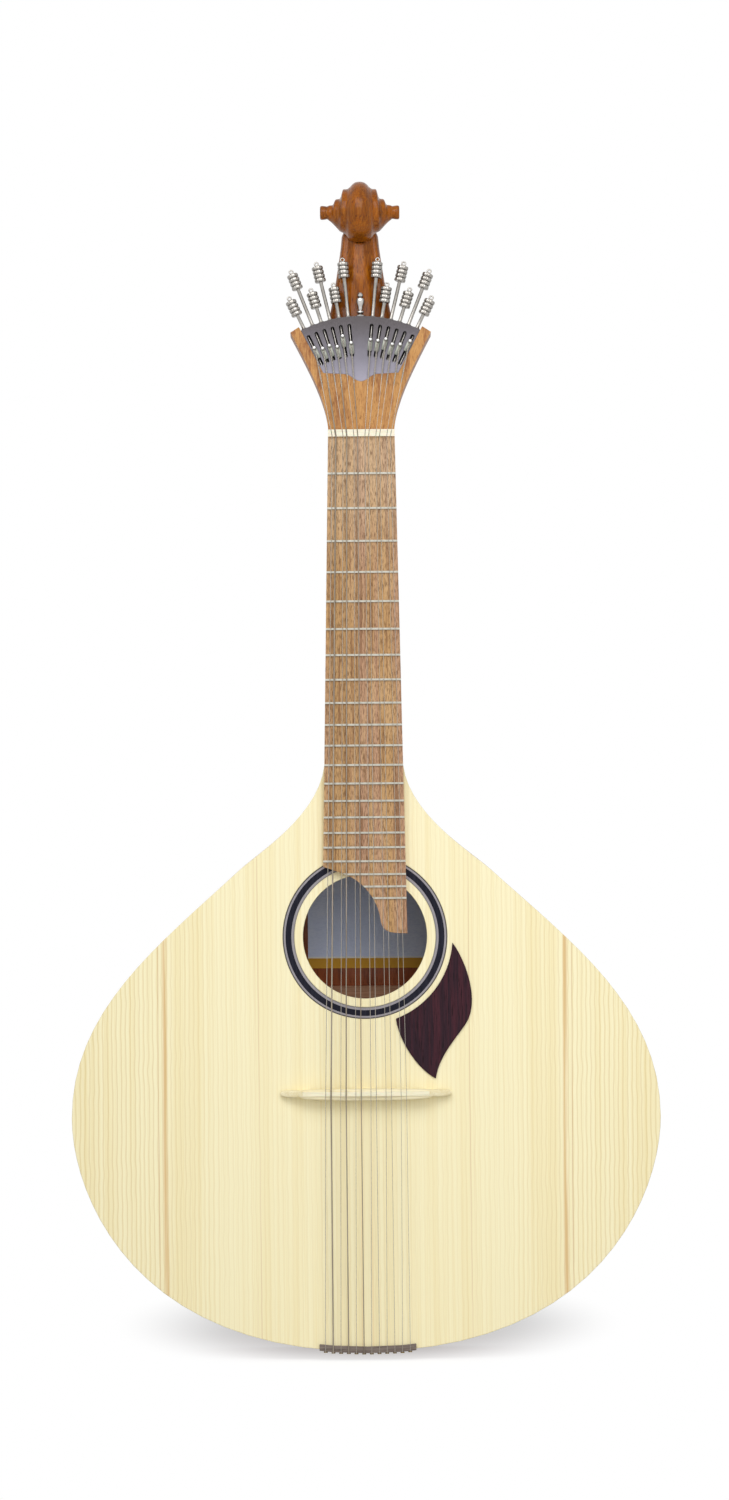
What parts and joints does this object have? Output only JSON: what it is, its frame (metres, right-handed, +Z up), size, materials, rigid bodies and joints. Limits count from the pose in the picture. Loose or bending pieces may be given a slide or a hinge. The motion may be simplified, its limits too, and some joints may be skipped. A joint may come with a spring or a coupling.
{
  "type": "portuguese guitar",
  "caption": "Pear-shaped long-necked lute with paired steel strings, a floating bridge, a fan of screw tuners with sliding hooks on a metal plate, and a carved scroll head.",
  "frame": {"origin": "on the centre line, in the soundboard's front plane, at the level where a wall hanger's yoke takes the head, 30 mm above the centre of the tuners' fan", "axes": "+Z up along the neck to the scroll, -Y out of the soundboard to the front, +X to the treble side, right as one looks at the front"},
  "size_m": [0.395, 0.1096, 0.7897],
  "materials": {
    "spruce": "satin varnish",
    "rosewood_body": "gloss varnish",
    "lining_wood": "bare",
    "brace_spruce": "bare",
    "block_cedar": "bare",
    "label_paper": "matt paper",
    "rosette_black": "satin",
    "rosette_grey": "satin",
    "pickguard_rosewood": "satin",
    "neck_mahogany": "satin varnish",
    "fingerboard_walnut": "oiled",
    "fret_nickel_silver": "polished",
    "bone_nut": "polished bone",
    "bridge_maple": "satin",
    "bone_saddle": "polished bone",
    "tail_hardwood": "oiled",
    "pin_brass": "drawn",
    "head_mahogany": "satin varnish",
    "scroll_mahogany": "gloss varnish",
    "plate_nickel": "brushed",
    "frame_nickel": "milled",
    "screw_steel": "turned",
    "finial_nickel": "turned",
    "tuner_nickel": "turned and plated",
    "hook_nickel": "polished",
    "string_steel": "drawn and wound"
  },
  "bodies": {
    "guitar": {"soundboard": "spruce", "back_plate": "rosewood_body", "rib_left": "rosewood_body", "rib_right": "rosewood_body", "top_lining": "lining_wood", "back_lining": "lining_wood", "top_braces": "brace_spruce", "back_braces": "brace_spruce", "neck_block": "block_cedar", "tail_block": "block_cedar", "paper_label": "label_paper", "rosette_band": "rosette_black", "rosette_lines": "rosette_grey", "pickguard": "pickguard_rosewood", "neck": "neck_mahogany", "fingerboard": "fingerboard_walnut", "frets": "fret_nickel_silver", "nut": "bone_nut", "bridge": "bridge_maple", "saddle": "bone_saddle", "tail_saddle": "tail_hardwood", "tail_pins": "pin_brass", "headstock": "head_mahogany", "scroll": "scroll_mahogany", "machine_plate": "plate_nickel", "machine_frame": "frame_nickel", "frame_screws": "screw_steel", "finial": "finial_nickel", "course_1": "string_steel", "course_2": "string_steel", "course_3": "string_steel", "course_4": "string_steel", "course_5": "string_steel", "course_6": "string_steel"},
    "tuner_1": {"tuner_1": "tuner_nickel"},
    "hook_1": {"hook_1": "hook_nickel"},
    "tuner_2": {"tuner_2": "tuner_nickel"},
    "hook_2": {"hook_2": "hook_nickel"},
    "tuner_3": {"tuner_3": "tuner_nickel"},
    "hook_3": {"hook_3": "hook_nickel"},
    "tuner_4": {"tuner_4": "tuner_nickel"},
    "hook_4": {"hook_4": "hook_nickel"},
    "tuner_5": {"tuner_5": "tuner_nickel"},
    "hook_5": {"hook_5": "hook_nickel"},
    "tuner_6": {"tuner_6": "tuner_nickel"},
    "hook_6": {"hook_6": "hook_nickel"},
    "tuner_7": {"tuner_7": "tuner_nickel"},
    "hook_7": {"hook_7": "hook_nickel"},
    "tuner_8": {"tuner_8": "tuner_nickel"},
    "hook_8": {"hook_8": "hook_nickel"},
    "tuner_9": {"tuner_9": "tuner_nickel"},
    "hook_9": {"hook_9": "hook_nickel"},
    "tuner_10": {"tuner_10": "tuner_nickel"},
    "hook_10": {"hook_10": "hook_nickel"},
    "tuner_11": {"tuner_11": "tuner_nickel"},
    "hook_11": {"hook_11": "hook_nickel"},
    "tuner_12": {"tuner_12": "tuner_nickel"},
    "hook_12": {"hook_12": "hook_nickel"}
  },
  "joints": [
    {"name": "tuner_1_turn", "type": "hinge", "parent": "guitar", "child": "tuner_1", "pos_m": [-0.03761, 0.01103, 0.04823], "axis": [-0.4274, 0.1258, 0.8953], "range_deg": [-5014.8, 3009.1]},
    {"name": "hook_1_slide", "type": "slide", "parent": "guitar", "child": "hook_1", "axis": [-0.4274, 0.1258, 0.8953], "range_m": [-0.00585, 0.00975], "deforming": ["course_1"]},
    {"name": "tuner_2_turn", "type": "hinge", "parent": "guitar", "child": "tuner_2", "pos_m": [-0.03197, 0.01137, 0.05063], "axis": [-0.3633, 0.1297, 0.9226], "range_deg": [-6351.9, 1671.9]},
    {"name": "hook_2_slide", "type": "slide", "parent": "guitar", "child": "hook_2", "axis": [-0.3633, 0.1297, 0.9226], "range_m": [-0.00325, 0.01235], "deforming": ["course_1"]},
    {"name": "tuner_3_turn", "type": "hinge", "parent": "guitar", "child": "tuner_3", "pos_m": [-0.02617, 0.01165, 0.05264], "axis": [-0.2974, 0.1329, 0.9455], "range_deg": [-6197.6, 1826.2]},
    {"name": "hook_3_slide", "type": "slide", "parent": "guitar", "child": "hook_3", "axis": [-0.2974, 0.1329, 0.9455], "range_m": [-0.00355, 0.01205], "deforming": ["course_2"]},
    {"name": "tuner_4_turn", "type": "hinge", "parent": "guitar", "child": "tuner_4", "pos_m": [-0.02024, 0.01188, 0.05425], "axis": [-0.23, 0.1354, 0.9637], "range_deg": [-7277.6, 746.2]},
    {"name": "hook_4_slide", "type": "slide", "parent": "guitar", "child": "hook_4", "axis": [-0.23, 0.1354, 0.9637], "range_m": [-0.00145, 0.01415], "deforming": ["course_2"]},
    {"name": "tuner_5_turn", "type": "hinge", "parent": "guitar", "child": "tuner_5", "pos_m": [-0.01422, 0.01205, 0.05544], "axis": [-0.1616, 0.1373, 0.9773], "range_deg": [-3986.2, 4037.6]},
    {"name": "hook_5_slide", "type": "slide", "parent": "guitar", "child": "hook_5", "axis": [-0.1616, 0.1373, 0.9773], "range_m": [-0.00785, 0.00775], "deforming": ["course_3"]},
    {"name": "tuner_6_turn", "type": "hinge", "parent": "guitar", "child": "tuner_6", "pos_m": [-0.00813, 0.01216, 0.05621], "axis": [-0.0924, 0.1386, 0.986], "range_deg": [-6763.4, 1260.5]},
    {"name": "hook_6_slide", "type": "slide", "parent": "guitar", "child": "hook_6", "axis": [-0.0924, 0.1386, 0.986], "range_m": [-0.00245, 0.01315], "deforming": ["course_3"]},
    {"name": "tuner_7_turn", "type": "hinge", "parent": "guitar", "child": "tuner_7", "pos_m": [0.00813, 0.01216, 0.05621], "axis": [0.0924, 0.1386, 0.986], "range_deg": [-5631.9, 2391.9]},
    {"name": "hook_7_slide", "type": "slide", "parent": "guitar", "child": "hook_7", "axis": [0.0924, 0.1386, 0.986], "range_m": [-0.00465, 0.01095], "deforming": ["course_4"]},
    {"name": "tuner_8_turn", "type": "hinge", "parent": "guitar", "child": "tuner_8", "pos_m": [0.01422, 0.01205, 0.05544], "axis": [0.1616, 0.1373, 0.9773], "range_deg": [-5683.4, 2340.5]},
    {"name": "hook_8_slide", "type": "slide", "parent": "guitar", "child": "hook_8", "axis": [0.1616, 0.1373, 0.9773], "range_m": [-0.00455, 0.01105], "deforming": ["course_4"]},
    {"name": "tuner_9_turn", "type": "hinge", "parent": "guitar", "child": "tuner_9", "pos_m": [0.02024, 0.01188, 0.05425], "axis": [0.23, 0.1354, 0.9637], "range_deg": [-4654.8, 3369.1]},
    {"name": "hook_9_slide", "type": "slide", "parent": "guitar", "child": "hook_9", "axis": [0.23, 0.1354, 0.9637], "range_m": [-0.00655, 0.00905], "deforming": ["course_5"]},
    {"name": "tuner_10_turn", "type": "hinge", "parent": "guitar", "child": "tuner_10", "pos_m": [0.02617, 0.01165, 0.05264], "axis": [0.2974, 0.1329, 0.9455], "range_deg": [-5837.6, 2186.2]},
    {"name": "hook_10_slide", "type": "slide", "parent": "guitar", "child": "hook_10", "axis": [0.2974, 0.1329, 0.9455], "range_m": [-0.00425, 0.01135], "deforming": ["course_5"]},
    {"name": "tuner_11_turn", "type": "hinge", "parent": "guitar", "child": "tuner_11", "pos_m": [0.03197, 0.01137, 0.05063], "axis": [0.3633, 0.1297, 0.9226], "range_deg": [-5014.8, 3009.1]},
    {"name": "hook_11_slide", "type": "slide", "parent": "guitar", "child": "hook_11", "axis": [0.3633, 0.1297, 0.9226], "range_m": [-0.00585, 0.00975], "deforming": ["course_6"]},
    {"name": "tuner_12_turn", "type": "hinge", "parent": "guitar", "child": "tuner_12", "pos_m": [0.03761, 0.01103, 0.04823], "axis": [0.4274, 0.1258, 0.8953], "range_deg": [-2597.6, 5426.2]},
    {"name": "hook_12_slide", "type": "slide", "parent": "guitar", "child": "hook_12", "axis": [0.4274, 0.1258, 0.8953], "range_m": [-0.01055, 0.00505], "deforming": ["course_6"]}
  ],
  "couplings": [
    {"joint": "tuner_1_turn", "follows": "hook_1_slide", "rad_per_m": -8976},
    {"joint": "tuner_2_turn", "follows": "hook_2_slide", "rad_per_m": -8976},
    {"joint": "tuner_3_turn", "follows": "hook_3_slide", "rad_per_m": -8976},
    {"joint": "tuner_4_turn", "follows": "hook_4_slide", "rad_per_m": -8976},
    {"joint": "tuner_5_turn", "follows": "hook_5_slide", "rad_per_m": -8976},
    {"joint": "tuner_6_turn", "follows": "hook_6_slide", "rad_per_m": -8976},
    {"joint": "tuner_7_turn", "follows": "hook_7_slide", "rad_per_m": -8976},
    {"joint": "tuner_8_turn", "follows": "hook_8_slide", "rad_per_m": -8976},
    {"joint": "tuner_9_turn", "follows": "hook_9_slide", "rad_per_m": -8976},
    {"joint": "tuner_10_turn", "follows": "hook_10_slide", "rad_per_m": -8976},
    {"joint": "tuner_11_turn", "follows": "hook_11_slide", "rad_per_m": -8976},
    {"joint": "tuner_12_turn", "follows": "hook_12_slide", "rad_per_m": -8976}
  ]
}
